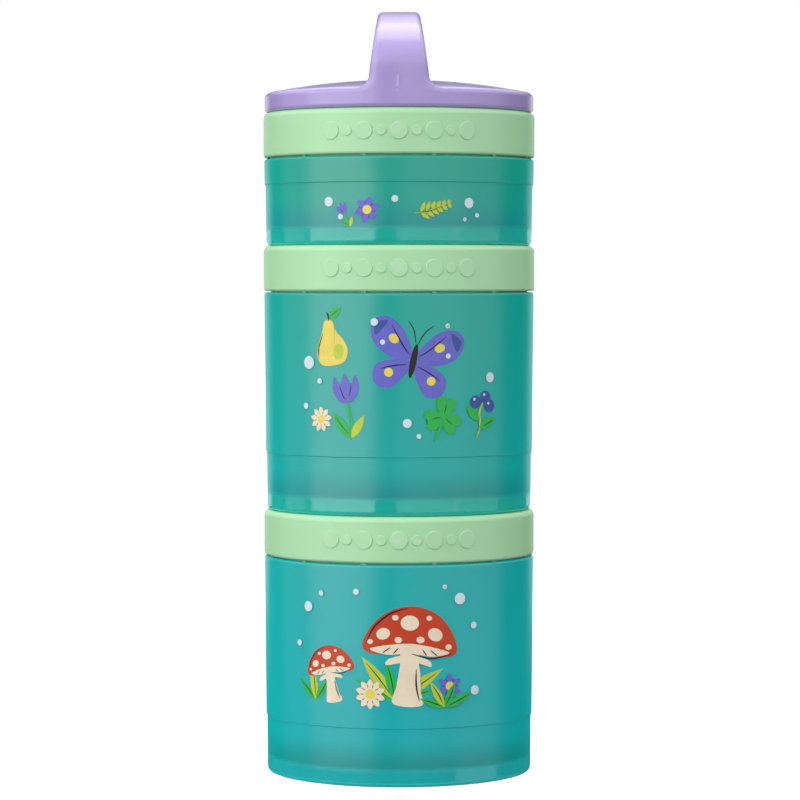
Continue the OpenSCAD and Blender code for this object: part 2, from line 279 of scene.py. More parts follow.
def outer_corner(r, z, radius, top):
    """Points of a section's rounded outside corner, whose sides would meet at (r, z)."""
    start, centre_z = (0, z - radius) if top else (-90, z + radius)
    return rounding(r - radius, centre_z, radius, start, start + 90)


def foot_hollow(foot):
    """Section of the underside that the cups and the lid share, from the seal groove to the foot."""
    groove_top = foot.depth + foot.groove_t
    return [
        (foot.groove_in, foot.depth), (foot.groove_in, groove_top),
        (foot.groove_out, groove_top), (foot.groove_out, foot.depth),
        (foot.skirt_r, foot.depth), (foot.skirt_r, foot.edge), (foot.skirt_r + foot.edge, 0),
    ]


def wall_radius(cup, height, foot_r, step, z):
    """Outside radius of a cup at height z."""
    slope = (cup.lip_r - foot_r - cup.step_in) / height
    return foot_r + slope * z + (cup.step_in if z > step else 0)


def cup_section(cup, foot, height, foot_r, step):
    """Section of a cup, from the axis under its floor, round its foot and lip, to the axis again."""
    bead_low = height - BEAD_DROP - BEAD_HALF - foot.edge
    bead_high = height - BEAD_DROP + BEAD_HALF + foot.edge
    bead_out = cup.mouth_r + BEAD_ROOM
    fillet = cup.floor_fillet
    return (
        [(0, foot.depth)]
        + foot_hollow(foot)
        + outer_corner(foot_r, 0, cup.foot_round, False)
        + [(wall_radius(cup, height, foot_r, step, z), z) for z in (step, step + cup.step_in)]
        + outer_corner(cup.lip_r, height, cup.lip_round, True)
        + [
            (cup.mouth_r + foot.edge, height), (cup.mouth_r, height - foot.edge),
            (cup.mouth_r, bead_high + BEAD_ROOM), (bead_out, bead_high),
            (bead_out, bead_low), (cup.mouth_r, bead_low - BEAD_ROOM),
            (cup.mouth_r, height - cup.mouth_h),
        ]
        + rounding(foot_r - cup.wall - fillet, cup.floor_top + fillet, fillet, 0, -90)
        + [(0, cup.floor_top)]
    )


def collar_section(collar, edge):
    """Section of a collar, with z = 0 at the lower edge of its grip."""
    spigot_z = -collar.lip_gap - collar.spigot_h
    bead_z = -collar.lip_gap - collar.spigot_h / 2
    bead_r = collar.spigot_r + collar.bead
    lead_in = 0.4 * MM
    rim_z = collar.grip_h + collar.neck_h
    under_z = collar.grip_h - collar.flange_t
    dot_margin = collar.large_dot * 0.6
    return (
        [
            (collar.spigot_in, spigot_z), (collar.spigot_r - lead_in, spigot_z),
            (collar.spigot_r, spigot_z + lead_in), (collar.spigot_r, bead_z - BEAD_HALF - collar.bead),
            (bead_r, bead_z - BEAD_HALF), (bead_r, bead_z + BEAD_HALF),
            (collar.spigot_r, bead_z + BEAD_HALF + collar.bead), (collar.spigot_r, under_z),
            (collar.grip_in, under_z), (collar.grip_in, edge), (collar.grip_in + edge, 0),
        ]
        + outer_corner(collar.radius, 0, collar.foot_round, False)
        + [(collar.radius, collar.grip_h / 2 + side * dot_margin) for side in (-1, 1)]
        + outer_corner(collar.radius, collar.grip_h, collar.top_round, True)
        + [
            (collar.neck_r, collar.grip_h), (collar.neck_r, rim_z - edge), (collar.neck_r - edge, rim_z),
            (collar.neck_in + edge, rim_z), (collar.neck_in, rim_z - edge),
            (collar.neck_in, under_z), (collar.spigot_in, under_z),
        ]
    )


def dome_height(lid, r, drop=0.0):
    """Height of the dome at a radius, or of its underside, which lies a wall lower."""
    return lid.crown - lid.dome_r + math.sqrt((lid.dome_r - drop) ** 2 - r * r)


def rim_meets_dome(lid, rounds=8):
    """Radius, height and slope in degrees of the place where the rim's rounding runs into the dome."""
    r = lid.radius
    for _ in range(rounds):
        slope = math.acos(r / lid.dome_r)
        r = lid.radius - lid.rim_round * (1 - math.cos(slope))
    return r, dome_height(lid, r), math.degrees(slope)


def rim_top(lid):
    """Height at which the rim stops being upright and starts to round."""
    _, z, slope = rim_meets_dome(lid)
    return z - lid.rim_round * math.sin(math.radians(slope))


def lid_section(lid, foot):
    """Section of the lid without its loop."""
    edge_r, _, slope = rim_meets_dome(lid)
    under_steps, over_steps = 8, 14
    under = [lid.hollow_r * i / under_steps for i in range(under_steps + 1)]
    over = [edge_r * i / over_steps for i in range(over_steps - 1, -1, -1)]
    return (
        [(r, dome_height(lid, r, lid.dome_wall)) for r in under]
        + [(lid.hollow_r, foot.depth)]
        + foot_hollow(foot)
        + outer_corner(lid.radius, 0, lid.foot_round, False)
        + rounding(lid.radius - lid.rim_round, rim_top(lid), lid.rim_round, 0, slope)
        + [(r, dome_height(lid, r)) for r in over]
    )


# Solids


def solid(name, points, faces):
    """A mesh whose faces all look outwards."""
    mesh = bpy.data.meshes.new(name)
    mesh.from_pydata(points, [], faces)
    shape = bmesh.new()
    shape.from_mesh(mesh)
    bmesh.ops.recalc_face_normals(shape, faces=shape.faces)
    shape.to_mesh(mesh)
    shape.free()
    return mesh


def lathe(name, section, segments=240):
    """A round solid, from a section of (radius, height) points that closes on itself or on the axis."""
    points, rings, faces = [], [], []
    for r, z in section:
        count = segments if r > 0 else 1
        rings.append([len(points) + k for k in range(count)])
        points += [turned(FULL_TURN * k / segments, r, z) for k in range(count)]
    for low, high in zip(rings, rings[1:] + rings[:1]):
        for k in range(segments if len(low) + len(high) > 2 else 0):
            after = (k + 1) % segments
            corners = [low[k % len(low)], low[after % len(low)], high[after % len(high)], high[k % len(high)]]
            faces.append(list(dict.fromkeys(corners)))
    return solid(name, points, faces)


def skin(name, rings):
    """A solid skinned over rings of points, with a flat cap on each end."""
    count = len(rings[0])
    points = [point for ring in rings for point in ring]
    faces = []
    for i in range(len(rings) - 1):
        for k in range(count):
            after = (k + 1) % count
            faces.append([i * count + k, i * count + after, (i + 1) * count + after, (i + 1) * count + k])
    faces.append(list(range(count)))
    faces.append(list(range(len(points) - count, len(points))))
    return solid(name, points, faces)


def thread_bar(inner, outer, start, sweep, z, height, lead, steps=24):
    """A lug that follows the thread, from its low end at angle start."""
    corners = [(inner, 0), (outer, 0), (outer, height), (inner, height)]
    rings = []
    for i in range(steps + 1):
        turn = sweep * i / steps
        climb = z + lead * turn / FULL_TURN
        rings.append([turned(start + turn, r, climb + rise) for r, rise in corners])
    return skin("lug", rings)


def pillow(angle, z, diameter, inner, outer, soft, count=36):
    """A round button that stands out at an angle, from an inner to an outer radius, with a soft edge."""
    half = diameter / 2
    section = [(half, inner), (half, outer - soft)]
    section += rounding(half - soft, outer - soft, soft, 0, 90, 4)[1:]
    rings = []
    for width, reach in section:
        ring = []
        for k in range(count):
            a = math.tau * (k + 0.5) / count
            aside, up = width * math.cos(a), width * math.sin(a)
            depth = math.sqrt(reach * reach - aside * aside)
            at = angle + math.degrees(math.atan2(aside, depth))
            ring.append(turned(at, math.hypot(aside, depth), z + up))
        rings.append(ring)
    return skin("dot", rings)


def slab(angle, inner, outer, thickness, low, high):
    """An upright plate between two radii, square to the round at an angle."""
    half = thickness / 2
    a = math.radians(angle)
    outline = [
        (reach * math.sin(a) + aside * math.cos(a), aside * math.sin(a) - reach * math.cos(a))
        for aside, reach in ((-half, inner), (half, inner), (half, outer), (-half, outer))
    ]
    return skin("rib", [[(x, y, z) for x, y in outline] for z in (low, high)])


def added(name, data):
    """A new object in the scene."""
    made = bpy.data.objects.new(name, data)
    bpy.context.scene.collection.objects.link(made)
    return made


def fuse(name, body, additions):
    """One solid out of a body and all that is moulded on it."""
    piece = added(name, body)
    helpers = [added("helper", mesh) for mesh in additions]
    for helper in helpers:
        union = piece.modifiers.new("Union", "BOOLEAN")
        union.operation = "UNION"
        union.solver = "MANIFOLD"
        union.object = helper
    graph = bpy.context.evaluated_depsgraph_get()
    made = bpy.data.meshes.new_from_object(piece.evaluated_get(graph))
    made.name = name
    made.materials.clear()
    piece.modifiers.clear()
    piece.data = made
    for helper in helpers:
        bpy.data.objects.remove(helper)
    return piece


def surfaced(piece, material, crease=30.0):
    """Gives a piece its material and smooth shading that keeps sharp edges and leaves broad faces flat."""
    piece.data.materials.append(material)
    piece.data.shade_smooth()
    piece.data.set_sharp_from_angle(angle=math.radians(crease))
    weighted = piece.modifiers.new("Even shading", "WEIGHTED_NORMAL")
    weighted.keep_sharp = True


def mark_height(mesh):
    """Stores each point's height above its own piece's foot, in millimetres, for the material."""
    heights = mesh.attributes.new(HEIGHT, "FLOAT", "POINT")
    for vertex, entry in zip(mesh.vertices, heights.data):
        entry.value = vertex.co.z / MM


def lift(mesh, z, turn=0.0):
    """Moves a mesh to its place: turned about the axis, then raised."""
    a = math.radians(turn)
    for vertex in mesh.vertices:
        x, y, height = vertex.co
        vertex.co = (x * math.cos(a) - y * math.sin(a), x * math.sin(a) + y * math.cos(a), height + z)


def foot_lugs(foot):
    """Lugs, detent bosses and end marks inside a foot."""
    mark_at = foot.lug_start + foot.lug_arc
    mark_top = foot.lug_z + foot.lug_t + foot.lead * foot.lug_arc / FULL_TURN
    boss_at = foot.lug_start + foot.lug_arc / 2
    root = foot.skirt_r + EMBED
    solids = []
    for turn in THIRDS:
        solids.append(thread_bar(
            foot.lug_r, root, foot.lug_start + turn, foot.lug_arc, foot.lug_z, foot.lug_t, foot.lead
        ))
        solids.append(slab(mark_at + turn, foot.boss_r, root, foot.mark_w, foot.lug_z, mark_top))
        solids.append(boss(foot, boss_at + turn))
    return solids


def boss(foot, angle, steps=24):
    """The upper half of a flat round boss on the inside of the foot."""
    half = foot.boss_w / 2
    outer = foot.skirt_r + BOSS_EMBED
    least = foot.lug_z + HAIR
    rings = []
    for i in range(steps + 1):
        aside = -half + 2 * half * i / steps
        top = max(math.sqrt(max(half * half - aside * aside, 0)), least)
        at = angle + math.degrees(aside / foot.boss_r)
        corners = ((foot.boss_r, foot.lug_z), (outer, foot.lug_z), (outer, top), (foot.boss_r, top))
        rings.append([turned(at, r, z) for r, z in corners])
    return skin("boss", rings)


def collar_fittings(collar, foot):
    """Neck lugs, stops, ribs and raised dots of a collar, with z = 0 at its lower edge."""
    top = collar.grip_h
    root = collar.neck_r - EMBED
    dot_edge = 0.12 * MM
    bars = (
        (collar.lug_start, collar.lug_arc, top + collar.lug_z, foot.lug_t, foot.lead),
        (collar.stop_start, collar.stop_arc, top - EMBED, collar.stop_h + EMBED, 0),
    )
    solids = [thread_bar(root, collar.lug_r, start + turn, *bar) for turn in THIRDS for start, *bar in bars]
    for i in range(collar.ribs):
        solids.append(slab(
            (i + 0.5) * FULL_TURN / collar.ribs, collar.spigot_r - foot.edge, collar.grip_in + foot.edge,
            collar.rib_t, -collar.lip_gap, top - collar.flange_t / 2,
        ))
    step = math.degrees(collar.dot_pitch / collar.radius)
    for side in (0.0, 180.0):
        for i in range(collar.dots):
            diameter = collar.small_dot if i % 2 else collar.large_dot
            solids.append(pillow(
                side + (i - (collar.dots - 1) / 2) * step, top / 2, diameter, collar.grip_in + EMBED,
                collar.radius + collar.dot_h, dot_edge,
            ))
    return solids


# The carrying loop


def flare_top(lid):
    """Height at which the flare where a leg meets the rim ends."""
    return rim_meets_dome(lid)[1] + lid.flare


def loop_half_width(lid, z):
    """Half the band's width at a height, which narrows evenly up to just below the loop's top."""
    flare_z = flare_top(lid)
    top_z = lid.loop_h - 2 * MM
    share = min(max((z - flare_z) / (top_z - flare_z), 0.0), 1.0)
    return lid.leg_w / 2 + (lid.top_w / 2 - lid.leg_w / 2) * share


def flare_span(lid, z, depth):
    """Half the width at a height of the line that runs a depth inside the flared edge."""
    flare_z = flare_top(lid)
    centre_x = lid.leg_w / 2 + lid.flare
    reach = (lid.flare + depth) ** 2 - (flare_z - z) ** 2
    return centre_x - math.sqrt(max(reach, 0.0))


def front_inset(lid, x, z):
    """Depth of the leg's rounded front below the rim's face, in the flared stretch."""
    flare_z = flare_top(lid)
    centre_x = lid.leg_w / 2 + lid.flare
    away = math.hypot(max(centre_x - x, 0.0), flare_z - z) - lid.flare
    short = min(max(lid.outer_round - away, 0.0), lid.outer_round)
    return lid.outer_round - math.sqrt(lid.outer_round ** 2 - short ** 2)


def leg_ring(lid, z, outer, inner, sink=0.0):
    """Ring of (x, inset) points of a leg at a height. Inset counts from the outer face inwards."""
    flare_z = flare_top(lid)
    edge_z = flare_z - lid.flare
    if z < flare_z:
        tangent = flare_span(lid, z, lid.outer_round)
        edge = lid.leg_w / 2 + lid.flare if z < edge_z else flare_span(lid, z, 0.0)
    else:
        edge = loop_half_width(lid, z)
        tangent = edge - lid.outer_round
    band = outer - inner
    ridge = lid.parting * min(max((lid.spring - z) / (lid.spring - flare_z), 0.0), 1.0)
    crest, run_out = 0.06 * MM, 0.2 * MM
    front = [(0.0, -ridge), (crest, -ridge), (run_out, 0.0)]
    front += [(tangent * share, 0.0) for share in (0.2, 0.4, 0.6, 0.8, 0.93)]
    outer_steps, inner_steps = 8, 6
    for i in range(outer_steps + 1):
        swing = math.radians(90 * i / outer_steps)
        x = tangent + (edge - tangent) * math.sin(swing)
        if z < flare_z:
            front.append((x, front_inset(lid, x, z)))
        else:
            front.append((x, lid.outer_round * (1 - math.cos(swing))))
    side = front[-1][1]
    soft = min(lid.inner_round, (band - side) * 0.9)
    back = rounding(edge - soft, band - soft, soft, 0, 90, inner_steps)
    back += [((edge - soft) * share, band) for share in (0.75, 0.5, 0.25)]
    right = [(x, inset + sink) for x, inset in front] + back
    left = [(-x, inset) for x, inset in reversed(right[1:])]
    return right + [(0.0, band)] + left


def loop_ring(lid, ring, outer, inner):
    """A ring's points in place. outer and inner are the band's (y, z) on its two faces."""
    band = math.dist(outer, inner)
    lean = (outer[0] / lid.radius) ** 4
    points = []
    for x, inset in ring:
        share = inset / band
        y = outer[0] + (inner[0] - outer[0]) * share
        z = outer[1] + (inner[1] - outer[1]) * share
        crown = lid.radius - math.sqrt(lid.radius ** 2 - x * x)
        points.append((x, y - math.copysign(crown * (1 - share) * lean, y), z))
    return points


def loop_rings(lid, foot):
    """Rings of the whole loop, up the front leg, over the arch and down the back leg."""
    edge_z = rim_meets_dome(lid)[1]
    flare_z = edge_z + lid.flare
    start = rim_top(lid)
    above_groove = foot.depth + foot.groove_t + HAIR
    fillet = 1.6 * MM
    leg_in = lid.radius - lid.band_t
    sunk, set_in, below_groove = 0.2 * MM, 0.15 * MM, 0.1 * MM
    flare_steps, arch_steps = 14, 56
    heights = [start - sunk, start + set_in, above_groove - below_groove, above_groove]
    heights += [above_groove + (edge_z - above_groove) * share for share in (0.4, 0.8)]
    turns = [math.radians(90 * i / flare_steps) for i in range(flare_steps + 1)]
    heights += [flare_z - lid.flare * math.cos(a) for a in turns]
    heights += [flare_z + (lid.spring - flare_z) * share for share in (0.5, 0.98)]
    legs = []
    for i, z in enumerate(heights):
        inner = leg_in
        if z < above_groove:
            inner = foot.skirt_r + foot.edge * 2
        elif z < edge_z + fillet:
            short = 1 - max(z - edge_z, 0.0) / fillet
            inner = leg_in - fillet * (1 - math.sqrt(max(1 - short * short, 0.0)))
        ring = leg_ring(lid, z, lid.radius, inner, HAIR if i == 0 else 0.0)
        legs.append((ring, z, inner))
    front = [loop_ring(lid, ring, (-lid.radius, z), (-inner, z)) for ring, z, inner in legs]
    back = [[(x, -y, z) for x, y, z in ring] for ring in reversed(front)]
    arch = []
    bend = lid.loop_h - lid.spring
    for i in range(1, arch_steps):
        a = math.pi - math.pi * i / arch_steps
        outer = (lid.radius * math.cos(a), lid.spring + bend * math.sin(a))
        inner = (leg_in * math.cos(a), lid.spring + (bend - lid.band_t) * math.sin(a))
        ring = leg_ring(lid, max(outer[1], flare_z), lid.band_t, 0.0)
        thickness = math.dist(outer, inner)
        ring = [(x, inset * thickness / lid.band_t) for x, inset in ring]
        arch.append(loop_ring(lid, ring, outer, inner))
    return front + arch + back


# Materials


def add_node(tree, kind, inputs=None, **settings):
    """A new node with its settings, and its inputs filled."""
    made = tree.nodes.new("ShaderNode" + kind)
    for name, value in settings.items():
        setattr(made, name, value)
    return fill(tree, made, inputs or {})


def fill(tree, target, inputs):
    """Fills a node's inputs, each with a plain value or from another node's socket."""
    for name, value in inputs.items():
        if isinstance(value, bpy.types.NodeSocket):
            tree.links.new(value, target.inputs[name])
        else:
            target.inputs[name].default_value = value
    return target


def new_shader(name, tint, roughness):
    """A new material, its shader and its node tree."""
    material = bpy.data.materials.new(name)
    material.use_nodes = True
    material.diffuse_color = (*tint, 1)
    tree = material.node_tree
    shader = fill(tree, tree.nodes["Principled BSDF"], {"Base Color": (*tint, 1), "Roughness": roughness})
    return material, shader, tree


def noise(tree, scale, detail):
    """Noise in the piece's own space."""
    place = add_node(tree, "TexCoord").outputs["Object"]
    return add_node(tree, "TexNoise", {"Vector": place, "Scale": scale, "Detail": detail}).outputs["Fac"]


def level(tree):
    """Height in the closed stack."""
    place = add_node(tree, "TexCoord").outputs["Object"]
    return add_node(tree, "SeparateXYZ", {"Vector": place}).outputs["Z"]


def spread(tree, value, low, high, start=0.3, end=0.7, ease="LINEAR"):
    """Spreads a stretch of a value, by default its middle, over a new range."""
    ends = {"Value": value, "From Min": start, "From Max": end, "To Min": low, "To Max": high}
    return add_node(tree, "MapRange", ends, interpolation_type=ease).outputs["Result"]


def blend_colour(tree, first, second, share):
    """Blends two colours, each a socket or a plain tint, by a value."""
    inputs = {"Factor": share}
    for name, side in (("A", first), ("B", second)):
        inputs[name] = side if isinstance(side, bpy.types.NodeSocket) else (*side, 1)
    return add_node(tree, "Mix", inputs, data_type="RGBA").outputs["Result"]


def vary_colour(tree, shader, tint, pattern, depth):
    """Lets the colour wander between a darker and a lighter tint."""
    darker = [part * (1 - depth) for part in tint]
    lighter = [min(part * (1 + depth), 1) for part in tint]
    wandering = blend_colour(tree, darker, lighter, spread(tree, pattern, 0, 1))
    fill(tree, shader, {"Base Color": wandering})
    return wandering


def highlit_worn_edges(tree, shader, base, tint, amount):
    """Lightens convex edges a little: a painted highlight along the edges, with a little of the wear that
    handling and the mould's parting leave.
    """
    # Convex edges, found by their pointiness, get a painted highlight.
    edge = add_node(tree, "NewGeometry").outputs["Pointiness"]
    paler = [part + (1 - part) * 0.5 for part in tint]
    highlit_worn = blend_colour(tree, base, paler, spread(tree, edge, 0.0, amount, start=0.515, end=0.58))
    fill(tree, shader, {"Base Color": highlit_worn})


def bump(tree, shader, pattern, height):
    """Raises the surface by a pattern, up to a height."""
    relief = add_node(tree, "Bump", {"Distance": height, "Height": pattern})
    fill(tree, shader, {"Normal": relief.outputs["Normal"]})


def frosted_plastic(name, finishes):
    """Frosted, tinted, half clear plastic: cloudy walls, a clear thin foot, painted reflected light that
    turns the tint bluer low in the stack and greener high in it, and a painted shade that deepens the tint
    just above the floor.
    """
    material, shader, tree = new_shader(name, finishes.teal, 0.3)
    height = add_node(tree, "Attribute", attribute_name=HEIGHT).outputs["Fac"]
    # Painted reflected light: the wall tint turns from floor-lit blue to collar-lit green up the stack.
    mint_bounce_share = spread(tree, level(tree), 0, 1, start=0.03, end=0.19)
    # Painted reflected light: the feet's tint turns from floor-lit blue to collar-lit green up the stack.
    mint_bounce_feet_share = spread(tree, level(tree), 0, 1, start=0.02, end=0.08)
    # Painted shade: the tint deepens just above the floor, for the light lost in the thick floor behind the
    # wall.
    floor_shade_share = spread(tree, height, 1, 0, start=6.5, end=14.0, ease="SMOOTHSTEP")
    in_foot = spread(tree, height, 1, 0, start=3.8, end=6.2, ease="SMOOTHSTEP")
    wall = blend_colour(tree, finishes.teal, finishes.mint_bounce_teal, mint_bounce_share)
    clear = blend_colour(tree, finishes.clear_teal, finishes.mint_bounce_clear_teal, mint_bounce_feet_share)
    floor_shaded = blend_colour(tree, wall, finishes.floor_shade_teal, floor_shade_share)
    smooth = spread(tree, height, 0.1, 0.3, start=4.0, end=5.4)
    grain = spread(tree, noise(tree, 90, 2), -0.02, 0.03)
    fill(tree, shader, {
        "IOR": PLASTIC_IOR,
        "Specular IOR Level": 1.0,
        "Diffuse Roughness": 1.0,
        "Sheen Weight": 0.6,
        "Sheen Roughness": 0.5,
        "Sheen Tint": (0.0, 0.75, 0.7, 1),
        "Base Color": blend_colour(tree, floor_shaded, clear, in_foot),
        "Transmission Weight": spread(tree, height, 0.55, 0.35, start=4.0, end=5.4),
        "Roughness": add_node(tree, "Math", {0: smooth, 1: grain}, operation="ADD").outputs["Value"],
    })
    inside = add_node(tree, "VolumeAbsorption", {"Color": (0.0, 0.93, 0.89, 1), "Density": 290.0})
    fill(tree, tree.nodes["Material Output"], {"Volume": inside.outputs["Volume"]})
    return material


def scatter(tree, shader, weight, reach):
    """Lets light wander a little way under the surface."""
    fill(tree, shader, {
        "Subsurface Weight": weight, "Subsurface Radius": (1.0, 1.0, 1.0), "Subsurface Scale": reach,
    })


def satin_plastic(name, tint, roughness, gloss):
    """Solid coloured plastic with a satin skin, a fine mould grain and soft scuffs."""
    material, shader, tree = new_shader(name, tint, roughness)
    scatter(tree, shader, 0.15, 0.8 * MM)
    scuffs = spread(tree, noise(tree, 70, 2), roughness - 0.02, roughness + 0.03)
    fill(tree, shader, {
        "IOR": PLASTIC_IOR, "Coat Weight": gloss, "Coat Roughness": 0.14, "Roughness": scuffs,
    })
    base = vary_colour(tree, shader, tint, noise(tree, 45, 3), 0.02)
    # Painted highlight on convex edges, with a little wear.
    highlit_worn_edges(tree, shader, base, tint, 0.25)
    bump(tree, shader, noise(tree, 2600, 2), 0.002 * MM)
    return material


def seal_rubber(name, tint):
    """Soft, slightly clear silicone with a matt, dusty skin."""
    material, shader, tree = new_shader(name, tint, 0.6)
    scatter(tree, shader, 0.4, 1.0 * MM)
    fill(tree, shader, {"IOR": 1.41, "Roughness": spread(tree, noise(tree, 900, 3), 0.5, 0.68)})
    vary_colour(tree, shader, tint, noise(tree, 700, 4), 0.04)
    bump(tree, shader, noise(tree, 4200, 3), 0.01 * MM)
    return material


def ink(name, tint):
    """Opaque screen ink: a thin satin film with a faint wander in its depth."""
    material, shader, tree = new_shader("ink_" + name, tint, 0.36)
    vary_colour(tree, shader, tint, noise(tree, 240, 4), 0.05)
    fill(tree, shader, {"Roughness": spread(tree, noise(tree, 1500, 3), 0.3, 0.44)})
    bump(tree, shader, noise(tree, 2600, 2), 0.008 * MM)
    return material


# Printed motifs. Their shapes are lists of (ink, outline) in millimetres: across, then up.


def tilted(points, x, z, tilt, size=1.0):
    """Points sized, tilted from upright to the right and moved to a place."""
    across, up = size * math.cos(math.radians(tilt)), size * math.sin(math.radians(tilt))
    return [(x + a * across + b * up, z - a * up + b * across) for a, b in points]


def petal(x, z, reach, width, tilt, blunt=1.0, steps=18):
    """A leaf or petal that grows from a point at a tilt from upright, pointed unless it is blunt."""
    right = []
    for i in range(steps + 1):
        along = i / steps
        right.append((width / 2 * math.sin(math.pi * along ** 0.85) ** blunt, along * reach))
    left = [(-half, up) for half, up in right[-2:0:-1]]
    return tilted(right + left, x, z, tilt)


def disc(x, z, radius, flat=1.0, tilt=0.0, steps=32):
    """A round or oval spot."""
    turns = [math.tau * i / steps for i in range(steps)]
    return tilted([(radius * math.cos(a), radius * flat * math.sin(a)) for a in turns], x, z, -tilt)


def ring_spot(x, z, radius, line):
    """A thin ring, as one outline that runs round outside and back inside."""
    outer, inner = disc(x, z, radius), disc(x, z, radius - line)
    return outer + outer[:1] + inner[:1] + inner[:0:-1]


def curve_through(knots, closed, steps=8):
    """Points of a smooth curve through given knots."""
    count = len(knots)
    points = []
    for i in range(count if closed else count - 1):
        near = [(i + k) % count if closed else min(max(i + k, 0), count - 1) for k in (-1, 0, 1, 2)]
        for j in range(steps):
            t = j / steps
            weights = (
                -t / 2 + t * t - t ** 3 / 2, 1 - 2.5 * t * t + 1.5 * t ** 3,
                t / 2 + 2 * t * t - 1.5 * t ** 3, -t * t / 2 + t ** 3 / 2,
            )
            points.append(tuple(sum(w * knots[k][axis] for w, k in zip(weights, near)) for axis in (0, 1)))
    return points if closed else points + [knots[-1]]


def blob(name, *knots):
    """A patch of ink inside a smooth curve."""
    return name, curve_through(knots, True)


def stroke(width, *knots, name="black"):
    """A brush stroke of ink through knots, full in its middle and fine at its ends."""
    line = curve_through(knots, False)
    right, left = [], []
    for i, (x, z) in enumerate(line):
        before, after = line[max(i - 1, 0)], line[min(i + 1, len(line) - 1)]
        dx, dz = after[0] - before[0], after[1] - before[1]
        size = math.hypot(dx, dz) or 1.0
        half = width / 2 * (0.25 + 0.75 * math.sin(math.pi * i / (len(line) - 1)))
        right.append((x + half * dz / size, z - half * dx / size))
        left.append((x - half * dz / size, z + half * dx / size))
    return name, right + left[::-1]


def placed(shapes, x, z, size=1.0, tilt=0.0):
    """A motif moved to its place, at a size and a tilt."""
    return [(name, tilted(outline, x, z, tilt, size)) for name, outline in shapes]


def toadstool():
    """A red cap with cream spots on a cream stem, 26 wide and 27 tall, standing on its origin."""
    spots = (
        (-7.6, 18.8, 1.9, 20), (-0.6, 22.2, 2.5, 0), (6.6, 19.4, 2.1, -22), (-3.4, 17.4, 1.0, 0),
        (2.6, 17.8, 1.1, 0), (-4.6, 23.4, 0.9, 0), (4.6, 23.8, 0.8, 0), (10.6, 16.2, 0.9, 0),
        (-11.0, 16.4, 0.8, 0),
    )
    return [
        blob("cream", (-3.6, 0), (-3.0, 5), (-2.4, 12), (-2.6, 16), (2.6, 16), (2.2, 12), (3.2, 5), (4.2, 0)),
        blob("red", (-13, 14.6), (-11.6, 19.6), (-7, 24.6), (0, 26.8), (7, 24.8), (11.6, 19.8), (13, 14.8),
             (8.6, 13.4), (0, 14.6), (-8.6, 13.2)),
        blob("cream", (-10.8, 14.6), (0, 16.6), (10.8, 14.8), (6.2, 13.4), (0, 14.0), (-6.2, 13.2)),
        blob("cream", (-5.4, 12.2), (0, 13.6), (5.2, 12.4), (6.0, 10.6), (2.4, 11.4), (-2.2, 11.2),
             (-6.2, 10.4)),
        *[("cream", disc(x, z, radius, 0.82, tilt)) for x, z, radius, tilt in spots],
        stroke(0.5, (-12.2, 15.6), (-10.2, 20.4), (-6.0, 24.4), (-1.4, 26.2)),
        stroke(0.4, (11.6, 14.4), (6.0, 12.9), (0.4, 13.9)),
        stroke(0.45, (3.4, 1.2), (2.3, 5.4), (2.0, 9.8)),
        *[stroke(0.3, (x, 13.6), (x * 0.72, 15.2)) for x in (-7.5, -4.5, 4.6, 7.6)],
    ]


def grass(*leaves):
    """Blades that fan out from one root. Each leaf is its tilt, reach and width."""
    shapes = []
    for i, (tilt, reach, width) in enumerate(leaves):
        shapes.append(("lime" if i % 3 == 1 else "green", petal(0, 0, reach, width, tilt)))
        t = math.radians(tilt)
        vein = ((0.1, 0.0), (0.5, 0.3), (0.86, 0.0))
        shapes.append(stroke(0.32, *[
            (share * reach * math.sin(t) + aside, share * reach * math.cos(t)) for share, aside in vein
        ]))
    return shapes


def daisy(rays, petals_ink, heart_ink, reach=5.2, width=2.6):
    """A round flower with its heart at the origin."""
    shapes = [(petals_ink, petal(0, 0, reach, width, FULL_TURN * i / rays, 0.62)) for i in range(rays)]
    shapes.append((heart_ink, disc(0, 0, reach * 0.34)))
    line = stroke(0.24, (0, reach * 0.42), (0, reach * 0.66))
    for i in range(rays):
        shapes += placed([line], 0, 0, 1.0, FULL_TURN * (i + 0.5) / rays)
    return shapes


def tulip():
    """A purple cup flower on a curved green stem with two leaves, 22 tall."""
    return [
        stroke(1.1, (0, 0), (0.9, 5), (0.2, 11), (0, 14), name="green"),
        ("green", petal(0.2, 0.6, 11, 3.4, -32)),
        ("lime", petal(0.4, 0.6, 9, 3.0, 36)),
        blob("purple", (-3.9, 21.4), (-4.6, 16.6), (-2.6, 13.2), (0, 12.4), (2.6, 13.2), (4.6, 16.6),
             (3.9, 21.4), (1.9, 18.8), (0, 22.2), (-1.9, 18.8)),
        stroke(0.4, (-2.0, 18.2), (-1.3, 15.2), (-0.3, 13.4)),
        stroke(0.35, (2.0, 18.4), (1.6, 16.2), (1.0, 14.6)),
        stroke(0.3, (-0.4, 2.2), (-2.8, 5.2), (-4.6, 8.4)),
    ]


